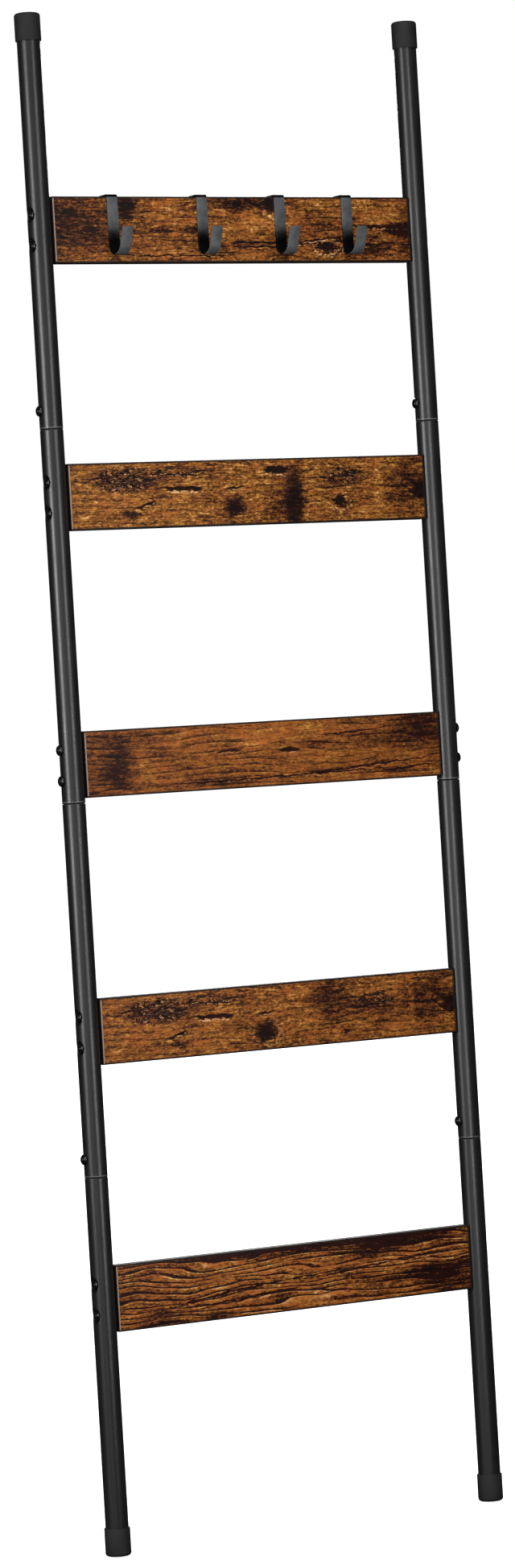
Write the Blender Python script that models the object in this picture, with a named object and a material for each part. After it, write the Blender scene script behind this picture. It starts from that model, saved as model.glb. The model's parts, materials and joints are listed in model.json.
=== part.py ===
"""Blanket ladder that leans on a wall: two steel-tube uprights in four plugged
sections each, five boards screwed between them, and four sliding hooks on the top board.

Metres, +Z up. The boards run along X, the room is on the -Y side and the wall on the +Y
side. The pieces are placed on an upright ladder, which an empty then leans on the wall."""

import math

import bmesh
import bpy
from mathutils import Matrix, Vector

GAP = 0.0003

LEAN = math.radians(6.7)
LADDER_LENGTH = 1.650
UPRIGHT_SPACING = 0.475

TUBE_RADIUS = 0.0125
TUBE_WALL = 0.0012
TUBE_SIDES = 20
TUBE_CHAMFER = 0.0004
SECTION_NAMES = ("bottom", "lower_mid", "upper_mid", "top")
FIRST_SEAM = 0.405
SECTION_PITCH = 0.400
NECK_LENGTH = 0.070
NECK_TAPER = 0.003
JOINT_SCREW_RISE = 0.020
JOINT_SCREW_SEAMS = (0, 2)

CAP_RADIUS = 0.014
CAP_HEIGHT = 0.030
CAP_END = 0.003
CAP_ROUNDING = 0.002
CAP_SIDES = 20

BOARD_HEIGHT = 0.0715
BOARD_THICKNESS = 0.015
BOARD_BEVEL = 0.0006
FIRST_BOARD = 0.274
BOARD_PITCH = 0.286
BOARD_COUNT = 5
BOARD_OVER_A_SEAM = 2
PILOT_DEPTH = 0.030

SCREW_SPACING = 0.033
SCREW_BITE = 0.025
SHANK_RADIUS = 0.002
HOLE_RADIUS = 0.0024
SCREW_SIDES = 12
HEAD_RADIUS = 0.00575
HEAD_HEIGHT = 0.0038
HEAD_RIM = 0.0010
SOCKET_RADIUS = 0.0022
SOCKET_DEPTH = 0.0018
JOINT_SHANK = 0.010

DIMPLE_DEPTH = 0.0048
DIMPLE_SIDES = 12
DIMPLE_FLOOR = 0.0066
DIMPLE_MOUTH = 0.0095
DIMPLE_OVERRUN = 0.0010
CUTTER_TWIST = math.radians(5)

NUT_RADIUS = 0.0046
NUT_HEIGHT = 0.0040

HOOK_PLACES = (-0.152, -0.041, 0.057, 0.143)
HOOK_NAMES = ("hook_1", "hook_2", "hook_3", "hook_4")
STRIP_WIDTH = 0.013
STRIP_THICKNESS = 0.002
STRIP_EDGE = 0.0004
CLIP_BEND = 0.002
CLIP_BACK_LEG = 0.028
THROAT_RADIUS = 0.0125
THROAT_TURN = math.radians(160)
HOOK_DROP = 0.0645
HOOK_TIP_DROP = 0.0355

TUBE_BORE = TUBE_RADIUS - TUBE_WALL
NECK_RADIUS = TUBE_BORE - GAP
NECK_BORE = NECK_RADIUS - TUBE_WALL
BOARD_LENGTH = UPRIGHT_SPACING - 2 * (TUBE_RADIUS + GAP)


# Shapes ---------------------------------------------------------------------------------


def ring(work, radius, height, sides, hexagonal):
    """A ring of vertices about Z, round or with six flats, or one vertex on the axis."""
    if radius == 0:
        return [work.verts.new((0, 0, height))]
    points = []
    for step in range(sides):
        angle = 2 * math.pi * step / sides
        reach = radius
        if hexagonal:
            off_flat = angle % (math.pi / 3) - math.pi / 6
            reach = radius * math.cos(math.pi / 6) / math.cos(off_flat)
        points.append(work.verts.new((reach * math.cos(angle), reach * math.sin(angle), height)))
    return points


def turn(work, profile, sides, place=None, loop=False):
    """Adds the surface that the profile sweeps about Z. A profile point is (radius, height),
    and a third value makes that ring a hexagon. A loop is a profile clear of the axis."""
    rings = [ring(work, p[0], p[1], sides, len(p) > 2) for p in profile]
    pairs = list(zip(rings, rings[1:]))
    if loop:
        pairs.append((rings[-1], rings[0]))
    for low, high in pairs:
        for step in range(sides):
            after = (step + 1) % sides
            corners = (
                low[step % len(low)],
                low[after % len(low)],
                high[after % len(high)],
                high[step % len(high)],
            )
            work.faces.new(list(dict.fromkeys(corners)))
    if place:
        bmesh.ops.transform(work, matrix=place, verts=[v for r in rings for v in r])


def finished(work, name):
    """The bmesh as a mesh, facing out, smooth on its round faces."""
    bmesh.ops.recalc_face_normals(work, faces=work.faces)
    mesh = bpy.data.meshes.new(name)
    work.to_mesh(mesh)
    work.free()
    mesh.shade_smooth()
    mesh.set_sharp_from_angle(angle=math.radians(35))
    return mesh


def material(name, colour, roughness, metallic=0.0):
    made = bpy.data.materials.new(name)
    made.use_nodes = True
    shader = made.node_tree.nodes["Principled BSDF"]
    shader.inputs["Base Color"].default_value = (*colour, 1)
    shader.inputs["Roughness"].default_value = roughness
    shader.inputs["Metallic"].default_value = metallic
    return made


def piece(name, mesh, finish, parent, place=(0, 0, 0), rotation=(0, 0, 0)):
    """One named solid, placed under its parent."""
    made = bpy.data.objects.new(name, mesh)
    bpy.context.collection.objects.link(made)
    if finish and not mesh.materials:
        mesh.materials.append(finish)
    made.parent = parent
    made.location = place
    made.rotation_euler = rotation
    return made


def helper(name, mesh, parent):
    """A shape that only cuts others."""
    made = piece(name, mesh, None, parent)
    made.hide_render = True
    made.display_type = "WIRE"
    return made


def cut(target, cutter):
    boolean = target.modifiers.new(cutter.name, "BOOLEAN")
    boolean.operation = "DIFFERENCE"
    boolean.solver = "EXACT"
    boolean.object = cutter


def empty(name, parent, place=(0, 0, 0), rotation=(0, 0, 0)):
    made = bpy.data.objects.new(name, None)
    bpy.context.collection.objects.link(made)
    made.parent = parent
    made.location = place
    made.rotation_euler = rotation
    return made


# Places ---------------------------------------------------------------------------------


def seam_height(number):
    return FIRST_SEAM + number * SECTION_PITCH


def board_height(number):
    """Height of a board's middle along the upright, counted from the foot."""
    return FIRST_BOARD + number * BOARD_PITCH


def screw_heights(board):
    middle = board_height(board)
    return (middle - SCREW_SPACING / 2, middle + SCREW_SPACING / 2)


def section_span(number):
    """Lower and upper end of a section's full-width tube, without its neck."""
    low = seam_height(number - 1) + GAP / 2 if number > 0 else CAP_END + GAP
    if number < len(SECTION_NAMES) - 1:
        return low, seam_height(number) - GAP / 2
    return low, LADDER_LENGTH - CAP_END - GAP


def outward(side):
    """Turns +Z to point out of the ladder, at -X on the left upright and +X on the right."""
    return Matrix.Rotation(side * math.pi / 2, 4, "Y")


def at_height(height, side):
    """A cutter's place across an upright, turned a little about its own axis so that its
    edges stay off the tube's own edges."""
    return Matrix.Translation((0, 0, height)) @ outward(side) @ Matrix.Rotation(CUTTER_TWIST, 4, "Z")


def standing_offset():
    """Where the foot of the upright ladder goes, so that the leaning ladder's box has its
    bottom centre at the origin. A cap's rounding is the outermost arc at both ends."""
    corner = CAP_RADIUS - CAP_ROUNDING
    front = -corner * math.cos(LEAN) + CAP_ROUNDING * math.sin(LEAN) - CAP_ROUNDING
    top_corner = LADDER_LENGTH - CAP_ROUNDING
    back = corner * math.cos(LEAN) + top_corner * math.sin(LEAN) + CAP_ROUNDING
    lowest = -corner * math.sin(LEAN) + CAP_ROUNDING * math.cos(LEAN) - CAP_ROUNDING
    return (0, -(front + back) / 2, -lowest)


# Uprights -------------------------------------------------------------------------------


def dimple_profile(extra):
    """The pressed dimple that sinks a screw head, from the tube's axis outwards. Extra is
    how much wider and deeper the metal's inner side is than the hollow itself."""
    floor = TUBE_RADIUS - DIMPLE_DEPTH - extra
    past = TUBE_RADIUS + DIMPLE_OVERRUN
    return [(DIMPLE_FLOOR + extra, floor), (DIMPLE_MOUTH + extra, past), (0, past)]


def bore_profile(start):
    """A screw's clearance hole, from start to past the outer wall."""
    past = TUBE_RADIUS + DIMPLE_OVERRUN
    return [(0, start), (HOLE_RADIUS, start), (HOLE_RADIUS, past), (0, past)]


def section_screws(number):
    """(height, kind) of each screw through a section: a dimple, a plain hole through both
    walls, or a joint screw through the wall at -X only."""
    low, high = section_span(number)
    has_neck = number < len(SECTION_NAMES) - 1
    top = high + (NECK_LENGTH if has_neck else 0)
    found = []
    for board in range(BOARD_COUNT):
        kind = "plain" if board == BOARD_OVER_A_SEAM else "dimple"
        found += [(h, kind) for h in screw_heights(board) if low < h < top]
    for seam in JOINT_SCREW_SEAMS:
        height = seam_height(seam) + JOINT_SCREW_RISE
        if low < height < top:
            found.append((height, "joint"))
    return found


def screw_way(work, height, kind, side):
    """The hollow that a screw and its head need in the tube."""
    far = -TUBE_RADIUS - DIMPLE_OVERRUN
    if kind == "dimple":
        floor = TUBE_RADIUS - DIMPLE_DEPTH
        profile = [(0, far), (HOLE_RADIUS, far), (HOLE_RADIUS, floor)] + dimple_profile(0)
        turn(work, profile, DIMPLE_SIDES, at_height(height, side))
    elif kind == "plain":
        turn(work, bore_profile(far), SCREW_SIDES, at_height(height, side))
    else:
        turn(work, bore_profile(0), SCREW_SIDES, at_height(height, -1))


def section_skin(number):
    """The section's outer shape, solid: its tube and the neck that plugs into the next."""
    low, high = section_span(number)
    profile = [
        (0, low),
        (TUBE_RADIUS - TUBE_CHAMFER, low),
        (TUBE_RADIUS, low + TUBE_CHAMFER),
        (TUBE_RADIUS, high - TUBE_CHAMFER),
        (TUBE_RADIUS - TUBE_CHAMFER, high),
    ]
    if number < len(SECTION_NAMES) - 1:
        top = high + NECK_LENGTH
        lead = NECK_RADIUS - TUBE_WALL / 2
        profile += [(NECK_RADIUS, high), (NECK_RADIUS, top - TUBE_WALL), (lead, top), (0, top)]
    else:
        profile.append((0, high))
    return profile


def section_core(number):
    """The section's bore, solid, running past both of its ends."""
    low, high = section_span(number)
    below = low - TUBE_WALL
    profile = [(0, below), (TUBE_BORE, below)]
    if number < len(SECTION_NAMES) - 1:
        past = high + NECK_LENGTH + TUBE_WALL
        profile += [(TUBE_BORE, high - NECK_TAPER), (NECK_BORE, high - TUBE_WALL)]
        profile += [(NECK_BORE, past), (0, past)]
    else:
        past = high + TUBE_WALL
        profile += [(TUBE_BORE, past), (0, past)]
    return profile


def upright_section(upright, label, side, number, finish):
    """One length of tube. Its bore is cut out round the dimples' inner sides, and then the
    dimples' hollows and the screws' holes are cut."""
    name = f"{label}_upright_{SECTION_NAMES[number]}"
    screws = section_screws(number)
    skin = bmesh.new()
    turn(skin, section_skin(number), TUBE_SIDES)
    tube = piece(name, finished(skin, name), finish, upright)
    inner = bmesh.new()
    half_side = Matrix.Rotation(math.pi / TUBE_SIDES, 4, "Z")
    turn(inner, section_core(number), TUBE_SIDES, half_side)
    core = helper(name + "_core", finished(inner, name + "_core"), upright)
    dimples = [height for height, kind in screws if kind == "dimple"]
    if dimples:
        pressed = bmesh.new()
        for height in dimples:
            cup = [(0, TUBE_RADIUS - DIMPLE_DEPTH - TUBE_WALL)] + dimple_profile(TUBE_WALL)
            turn(pressed, cup, DIMPLE_SIDES, at_height(height, side))
        cut(core, helper(name + "_cups", finished(pressed, name + "_cups"), upright))
    cut(tube, core)
    if screws:
        ways = bmesh.new()
        for height, kind in screws:
            screw_way(ways, height, kind, side)
        cut(tube, helper(name + "_ways", finished(ways, name + "_ways"), upright))


def cap_mesh():
    """A moulded cup that slips over the tube's end, closed end at z = 0."""
    mouth = TUBE_RADIUS + GAP
    lip = 0.0005
    profile = [(0, 0)]
    for degrees in (0, 45, 90):
        angle = math.radians(degrees)
        radius = CAP_RADIUS - CAP_ROUNDING + CAP_ROUNDING * math.sin(angle)
        profile.append((radius, CAP_ROUNDING - CAP_ROUNDING * math.cos(angle)))
    profile += [
        (CAP_RADIUS, CAP_HEIGHT - lip),
        (CAP_RADIUS - lip, CAP_HEIGHT),
        (mouth, CAP_HEIGHT),
        (mouth, CAP_END),
        (0, CAP_END),
    ]
    work = bmesh.new()
    turn(work, profile, CAP_SIDES)
    return finished(work, "end_cap")


# Boards ---------------------------------------------------------------------------------


def board_mesh():
    work = bmesh.new()
    bmesh.ops.create_cube(work, size=1)
    size = (BOARD_LENGTH, BOARD_THICKNESS, BOARD_HEIGHT)
    bmesh.ops.scale(work, vec=size, verts=work.verts)
    bmesh.ops.bevel(work, geom=work.edges, offset=BOARD_BEVEL, segments=1, affect="EDGES")
    return finished(work, "board")


def pilot_holes_mesh():
    """Two blind holes in each end of a board."""
    work = bmesh.new()
    profile = [
        (0, BOARD_LENGTH / 2 - PILOT_DEPTH),
        (HOLE_RADIUS, BOARD_LENGTH / 2 - PILOT_DEPTH),
        (HOLE_RADIUS, BOARD_LENGTH / 2 + GAP),
        (0, BOARD_LENGTH / 2 + GAP),
    ]
    for side in (-1, 1):
        for height in (-SCREW_SPACING / 2, SCREW_SPACING / 2):
            turn(work, profile, SCREW_SIDES, at_height(height, side))
    return finished(work, "pilot_holes")


def add_boards(ladder, finish):
    shape = board_mesh()
    holes = pilot_holes_mesh()
    for number in range(BOARD_COUNT):
        place = (0, 0, board_height(number))
        board = piece(f"board_{number + 1}", shape, finish, ladder, place)
        cutter = helper(f"board_{number + 1}_holes", holes, ladder)
        cutter.location = place
        cut(board, cutter)


# Fasteners ------------------------------------------------------------------------------


def screw_mesh(name, length):
    """A button-head screw with a hexagon socket. The head's underside is at z = 0, and the
    shank runs down."""
    profile = [(0, -length), (SHANK_RADIUS, -length), (SHANK_RADIUS, 0), (HEAD_RADIUS, 0)]
    crown = HEAD_HEIGHT - HEAD_RIM
    for degrees in (0, 30, 60):
        angle = math.radians(degrees)
        profile.append((HEAD_RADIUS * math.cos(angle), HEAD_RIM + crown * math.sin(angle)))
    profile += [
        (SOCKET_RADIUS, HEAD_HEIGHT, True),
        (SOCKET_RADIUS, HEAD_HEIGHT - SOCKET_DEPTH, True),
        (0, HEAD_HEIGHT - SOCKET_DEPTH),
    ]
    work = bmesh.new()
    turn(work, profile, SCREW_SIDES)
    return finished(work, name)


def add_board_screws(uprights, finish):
    """Two screws a board end, in from the tube's outer side. Their heads sit in the
    dimples, and stand proud where the tube is double and so isn't dimpled."""
    reach = TUBE_RADIUS + GAP + SCREW_BITE
    sunk_seat = TUBE_RADIUS - DIMPLE_DEPTH + GAP
    proud_seat = TUBE_RADIUS + GAP
    sunk = screw_mesh("sunk_board_screw", sunk_seat + reach)
    proud = screw_mesh("proud_board_screw", proud_seat + reach)
    for label, side, upright in uprights:
        for board in range(BOARD_COUNT):
            over_seam = board == BOARD_OVER_A_SEAM
            seat = proud_seat if over_seam else sunk_seat
            for place, height in zip(("low", "high"), screw_heights(board)):
                piece(
                    f"{label}_board_{board + 1}_screw_{place}",
                    proud if over_seam else sunk,
                    finish,
                    upright,
                    (side * seat, 0, height),
                    (0, side * math.pi / 2, 0),
                )


def nut_mesh():
    """A hexagonal clinch nut with a clear bore, from z = 0 up."""
    work = bmesh.new()
    profile = [
        (NUT_RADIUS, 0, True),
        (NUT_RADIUS, NUT_HEIGHT, True),
        (HOLE_RADIUS, NUT_HEIGHT),
        (HOLE_RADIUS, 0),
    ]
    turn(work, profile, SCREW_SIDES, loop=True)
    return finished(work, "clinch_nut")


def add_joint_fasteners(uprights, screw_finish, nut_finish):
    """A screw at -X through each plugged joint, and the nut it draws on inside the neck."""
    screw = screw_mesh("joint_screw", JOINT_SHANK)
    nut = nut_mesh()
    flat_inside_neck = math.sqrt(NECK_BORE**2 - NUT_RADIUS**2) - GAP
    for label, _, upright in uprights:
        for seam, joint in zip(JOINT_SCREW_SEAMS, ("lower", "upper")):
            height = seam_height(seam) + JOINT_SCREW_RISE
            place = (-TUBE_RADIUS - GAP, 0, height)
            tilt = (0, -math.pi / 2, 0)
            piece(f"{label}_{joint}_joint_screw", screw, screw_finish, upright, place, tilt)
            place = (-flat_inside_neck + NUT_HEIGHT, 0, height)
            piece(f"{label}_{joint}_joint_nut", nut, nut_finish, upright, place, tilt)


# Hooks ----------------------------------------------------------------------------------


def hook_path():
    """Stations along the middle of the bent strip, each (y, z, heading, width share). The
    board's top middle is at 0, 0. Heading 0 points up, and it grows towards the room."""
    leg = BOARD_THICKNESS / 2 + GAP + STRIP_THICKNESS / 2
    top = GAP + STRIP_THICKNESS / 2
    path = [(leg, -CLIP_BACK_LEG, 0, 0.6), (leg, -CLIP_BACK_LEG + 0.002, 0, 1)]

    def bend(y, z, radius, start, sweep, steps):
        for step in range(steps + 1):
            heading = start + sweep * step / steps
            path.append((y + radius * math.cos(heading), z + radius * math.sin(heading), heading, 1))

    quarter = math.pi / 2
    bend(leg - CLIP_BEND, top - CLIP_BEND, CLIP_BEND, 0, quarter, 3)
    bend(-leg + CLIP_BEND, top - CLIP_BEND, CLIP_BEND, quarter, quarter, 3)
    throat_y = -leg - THROAT_RADIUS
    throat_z = -HOOK_DROP + STRIP_THICKNESS / 2 + THROAT_RADIUS
    steps = 10
    for step in range(steps + 1):
        around = THROAT_TURN * step / steps
        y = throat_y + THROAT_RADIUS * math.cos(around)
        z = throat_z - THROAT_RADIUS * math.sin(around)
        path.append((y, z, math.pi - around, 1))
    y, z, heading, _ = path[-1]
    rise = -HOOK_TIP_DROP - z
    out = rise * math.tan(heading)
    for share, width in ((0.5, 1), (0.9, 1), (0.97, 0.9), (1, 0.72)):
        path.append((y - out * share, z + rise * share, heading, width))
    return path


def hook_mesh():
    """The strip, with its long edges eased, swept along the path."""
    work = bmesh.new()
    half, thick, ease = STRIP_WIDTH / 2, STRIP_THICKNESS / 2, STRIP_EDGE
    rows = []
    for y, z, heading, share in hook_path():
        side = Vector((0, math.cos(heading), math.sin(heading)))
        wide = half * share
        outline = (
            (-wide, -thick + ease),
            (-wide, thick - ease),
            (-wide + ease, thick),
            (wide - ease, thick),
            (wide, thick - ease),
            (wide, -thick + ease),
            (wide - ease, -thick),
            (-wide + ease, -thick),
        )
        rows.append([work.verts.new(Vector((x, y, z)) + side * off) for x, off in outline])
    for first, second in zip(rows, rows[1:]):
        for step in range(len(first)):
            after = (step + 1) % len(first)
            work.faces.new((first[step], first[after], second[after], second[step]))
    work.faces.new(rows[0])
    work.faces.new(rows[-1])
    return finished(work, "hook")


def add_hooks(ladder, finish):
    """Four hooks over the top board. Each one's origin is on the board's top middle line,
    along which it slides."""
    shape = hook_mesh()
    top = board_height(BOARD_COUNT - 1) + BOARD_HEIGHT / 2
    for name, across in zip(HOOK_NAMES, HOOK_PLACES):
        piece(name, shape, finish, ladder, (across, 0, top))


# Assembly -------------------------------------------------------------------------------


def build():
    for obj in list(bpy.data.objects):
        bpy.data.objects.remove(obj, do_unlink=True)

    powder_coat = material("powder_coat", (0.020, 0.020, 0.021), 0.42)
    rubber = material("rubber", (0.012, 0.012, 0.013), 0.70)
    wood = material("rustic_board", (0.235, 0.098, 0.032), 0.55)
    hook_coat = material("hook_coat", (0.060, 0.062, 0.066), 0.40, 0.3)
    black_screw = material("black_screw", (0.015, 0.015, 0.016), 0.35, 0.5)
    zinc = material("zinc", (0.55, 0.55, 0.56), 0.35, 1.0)

    ladder = empty("leaning_ladder", None, standing_offset(), (-LEAN, 0, 0))
    uprights = []
    for label, side in (("left", -1), ("right", 1)):
        axis = empty(f"{label}_upright_axis", ladder, (side * UPRIGHT_SPACING / 2, 0, 0))
        uprights.append((label, side, axis))

    cap = cap_mesh()
    for label, side, axis in uprights:
        for number in range(len(SECTION_NAMES)):
            upright_section(axis, label, side, number, powder_coat)
        piece(f"{label}_foot_cap", cap, rubber, axis)
        piece(f"{label}_top_cap", cap, rubber, axis, (0, 0, LADDER_LENGTH), (math.pi, 0, 0))
    add_boards(ladder, wood)
    add_board_screws(uprights, black_screw)
    add_joint_fasteners(uprights, black_screw, zinc)
    add_hooks(ladder, hook_coat)


build()
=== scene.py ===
import json
import math

import bmesh
import bpy
from mathutils import Matrix, Vector


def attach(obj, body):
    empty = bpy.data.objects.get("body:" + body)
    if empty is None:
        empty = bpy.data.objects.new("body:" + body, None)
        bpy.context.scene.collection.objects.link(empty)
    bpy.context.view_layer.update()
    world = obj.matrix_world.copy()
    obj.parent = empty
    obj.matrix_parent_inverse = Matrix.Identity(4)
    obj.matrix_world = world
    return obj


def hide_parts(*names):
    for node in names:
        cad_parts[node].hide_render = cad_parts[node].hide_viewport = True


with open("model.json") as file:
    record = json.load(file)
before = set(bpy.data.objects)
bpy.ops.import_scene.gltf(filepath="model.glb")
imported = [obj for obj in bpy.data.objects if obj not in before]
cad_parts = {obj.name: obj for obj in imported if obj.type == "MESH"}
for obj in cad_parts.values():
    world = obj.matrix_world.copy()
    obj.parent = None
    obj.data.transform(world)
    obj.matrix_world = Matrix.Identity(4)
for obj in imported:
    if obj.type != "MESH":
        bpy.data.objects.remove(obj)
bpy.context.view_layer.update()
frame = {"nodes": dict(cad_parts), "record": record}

# Uprights --------------------------------------------------------------------------------
# Each upright is four lengths of 25 mm steel tube, black powder-coated. The lower three are
# swaged to a neck that plugs into the one above. Each length has two round dimples pressed
# into its outer side, where a board's screw heads sink in, and lips rolled over a little.

TUBE_WALL = 0.0012
TUBE_SIDES = 96
LIP_ROUNDING = 0.0007
NECK_LENGTH = 0.070
NECK_RADIUS = 0.0110
NECK_BORE = 0.0098
NECK_TAPER = 0.003
DIMPLE_DEPTH = 0.0048
DIMPLE_FLOOR = 0.0066
DIMPLE_FLARE = 2.0
DIMPLE_EASING = 0.0014
DIMPLE_REACH = 0.0135
PLAIN_RING = 0.040
FINE_RING = 0.0005
POWDER_COAT = (0.0055, 0.0055, 0.006)
WORN_COAT = (0.10, 0.10, 0.105)
# Painted shade colour for the groove at each seam.
SEAM_SHADE_BLACK = (0.0008, 0.0008, 0.0009)

# Lines round the tube at a seam: how far above it each one's middle is, and half its width.
WORN_LINE_MM = (1.9, 0.5)
# The line of painted shade in the seam's groove.
SEAM_SHADE_LINE_MM = (0.1, 1.0)
LINE_BLUR_MM = 0.2

# Sizes are taken on the ladder stood upright: Z runs up its uprights and Y through its boards
# towards the wall, from midway between the feet. The left foot's mount says how it leans.
foot = next(m for m in frame["record"]["mounts"] if m["name"] == "left_foot_face")
along = -Vector(foot["axis"])
across = Vector((1, 0, 0))
leaning = Matrix((across, along.cross(across), along)).transposed().to_4x4()
leaning.translation = (0, foot["pos_m"][1], foot["pos_m"][2])
standing = leaning.inverted()


def upright_box(node):
    """Lowest and highest corner of a CAD node on the ladder stood upright."""
    corners = [standing @ v.co for v in frame["nodes"][node].data.vertices]
    low = Vector([min(c[axis] for c in corners) for axis in range(3)])
    high = Vector([max(c[axis] for c in corners) for axis in range(3)])
    return low, high


class Wire:
    """An output socket in a node tree. Arithmetic on it adds Math nodes."""

    def __init__(self, tree, socket):
        self.tree = tree
        self.socket = socket

    @classmethod
    def node(cls, tree, kind, settings, sockets, output=0):
        """Adds a node: first its settings, then its sockets' values or links."""
        made = tree.nodes.new(kind)
        for name, value in settings.items():
            if name == "stops":
                ramp = made.color_ramp.elements
                while len(ramp) < len(value):
                    ramp.new(1)
                for stop, (place, colour) in zip(ramp, value):
                    stop.position = place
                    stop.color = (*colour, 1)
            else:
                setattr(made, name, value)
        for key, value in sockets.items():
            if isinstance(value, cls):
                tree.links.new(value.socket, made.inputs[key])
            else:
                made.inputs[key].default_value = value
        return cls(tree, made.outputs[output])

    def math(self, operation, *others):
        sockets = dict(enumerate((self, *others)))
        return Wire.node(self.tree, "ShaderNodeMath", {"operation": operation}, sockets)

    def vector(self, operation, *others, output=0):
        sockets = dict(enumerate((self, *others)))
        settings = {"operation": operation}
        return Wire.node(self.tree, "ShaderNodeVectorMath", settings, sockets, output)

    def part(self, axis):
        return Wire.node(self.tree, "ShaderNodeSeparateXYZ", {}, {0: self}, axis)

    def ramp(self, low, high):
        """0 below low and 1 above high, smooth between."""
        settings = {"interpolation_type": "SMOOTHSTEP"}
        sockets = {0: self, 1: low, 2: high}
        return Wire.node(self.tree, "ShaderNodeMapRange", settings, sockets)

    def __add__(self, other):
        return self.math("ADD", other)

    def __radd__(self, other):
        return self.math("ADD", other)

    def __sub__(self, other):
        return self.math("SUBTRACT", other)

    def __rsub__(self, other):
        return Wire.node(self.tree, "ShaderNodeMath", {"operation": "SUBTRACT"}, {0: other, 1: self})

    def __mul__(self, other):
        return self.math("MULTIPLY", other)

    def __rmul__(self, other):
        return self.math("MULTIPLY", other)

    def __truediv__(self, other):
        return self.math("DIVIDE", other)

    def __rtruediv__(self, other):
        return Wire.node(self.tree, "ShaderNodeMath", {"operation": "DIVIDE"}, {0: other, 1: self})


def turned(profile, sides, name):
    """The closed shell that a ring of (radius, height) sweeps about Z. A profile that starts
    and ends on the axis is closed by it."""
    work = bmesh.new()
    rings = []
    for radius, height in profile:
        if radius == 0:
            rings.append([work.verts.new((0, 0, height))])
            continue
        turns = [2 * math.pi * step / sides for step in range(sides)]
        corners = [(radius * math.cos(turn), radius * math.sin(turn), height) for turn in turns]
        rings.append([work.verts.new(corner) for corner in corners])
    pairs = list(zip(rings, rings[1:]))
    if profile[0][0] > 0:
        pairs.append((rings[-1], rings[0]))
    for first, second in pairs:
        for step in range(sides):
            after = (step + 1) % sides
            corners = (
                first[step % len(first)],
                first[after % len(first)],
                second[after % len(second)],
                second[step % len(second)],
            )
            work.faces.new(list(dict.fromkeys(corners)))
    bmesh.ops.recalc_face_normals(work, faces=work.faces)
    mesh = bpy.data.meshes.new(name)
    work.to_mesh(mesh)
    work.free()
    return mesh


def new_tree(name, inputs):
    """A Geometry Nodes tree and a wire for each of its named inputs."""
    tree = bpy.data.node_groups.new(name, "GeometryNodeTree")
    tree.interface.new_socket("Geometry", in_out="OUTPUT", socket_type="NodeSocketGeometry")
    for label, kind in {"Geometry": "Geometry", **inputs}.items():
        tree.interface.new_socket(label, in_out="INPUT", socket_type="NodeSocket" + kind)
    entry = tree.nodes.new("NodeGroupInput")
    return tree, {socket.name: Wire(tree, socket) for socket in entry.outputs if socket.name}


def close_tree(tree, geometry, finish):
    """Ends a tree: real geometry only, in its finish."""
    real = Wire.node(tree, "GeometryNodeRealizeInstances", {}, {0: geometry})
    coated = Wire.node(tree, "GeometryNodeSetMaterial", {}, {"Geometry": real, "Material": finish})
    leave = tree.nodes.new("NodeGroupOutput")
    tree.links.new(coated.socket, leave.inputs[0])


def shaped(name, mesh, tree, values):
    """The plain mesh that a tree makes of a mesh, as an object at the origin."""
    made = bpy.data.objects.new(name, mesh)
    bpy.context.scene.collection.objects.link(made)
    modifier = made.modifiers.new(tree.name, "NODES")
    modifier.node_group = tree
    for item in tree.interface.items_tree:
        if item.in_out == "INPUT" and item.name in values:
            modifier[item.identifier] = values[item.name]
    evaluated = made.evaluated_get(bpy.context.evaluated_depsgraph_get())
    result = bpy.data.meshes.new_from_object(evaluated)
    made.modifiers.remove(modifier)
    made.data = result
    result.name = name
    return made


def settled(piece, place, sharp=35):
    """Puts the piece's place into its mesh and shades it, sharp where faces meet steeply."""
    piece.data.transform(place)
    piece.data.shade_smooth()
    piece.data.set_sharp_from_angle(angle=math.radians(sharp))


def new_finish(name):
    """An empty material, its shader node and the Object coordinates in mm."""
    material = bpy.data.materials.new(name)
    material.use_nodes = True
    tree = material.node_tree
    metres = Wire.node(tree, "ShaderNodeTexCoord", {}, {}, "Object")
    point = Wire.node(tree, "ShaderNodeMapping", {}, {0: metres, "Scale": (1000, 1000, 1000)})
    return material, tree.nodes["Principled BSDF"], point


def stood_upright(point, origin=Vector()):
    """Object coordinates in mm turned to the ladder's own frame, counted from an origin."""
    place = Matrix.Translation(-origin) @ standing
    sockets = {0: point, "Location": place.translation * 1000, "Rotation": place.to_euler()}
    return Wire.node(point.tree, "ShaderNodeMapping", {}, sockets)


def noise(point, scale, detail=2.0, roughness=0.5):
    """Smooth noise from 0 to 1, with scale lumps to a millimetre."""
    sockets = {"Vector": point, "Scale": scale, "Detail": detail, "Roughness": roughness}
    return Wire.node(point.tree, "ShaderNodeTexNoise", {}, sockets)


def mixed(factor, first, second):
    """A colour between two colours or wires."""

    def solid(colour):
        return colour if isinstance(colour, Wire) else (*colour, 1)

    sockets = {0: factor, 6: solid(first), 7: solid(second)}
    return Wire.node(factor.tree, "ShaderNodeMix", {"data_type": "RGBA"}, sockets, 2)


def bumped(shader, height, distance, strength):
    """Feeds the shader's normal from a height; distance is in metres."""
    sockets = {"Height": height, "Distance": distance, "Strength": strength}
    relief = Wire.node(height.tree, "ShaderNodeBump", {}, sockets)
    height.tree.links.new(relief.socket, shader.inputs["Normal"])


def feed(shader, name, wire):
    """Feeds one of the shader's inputs."""
    wire.tree.links.new(wire.socket, shader.inputs[name])


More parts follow.
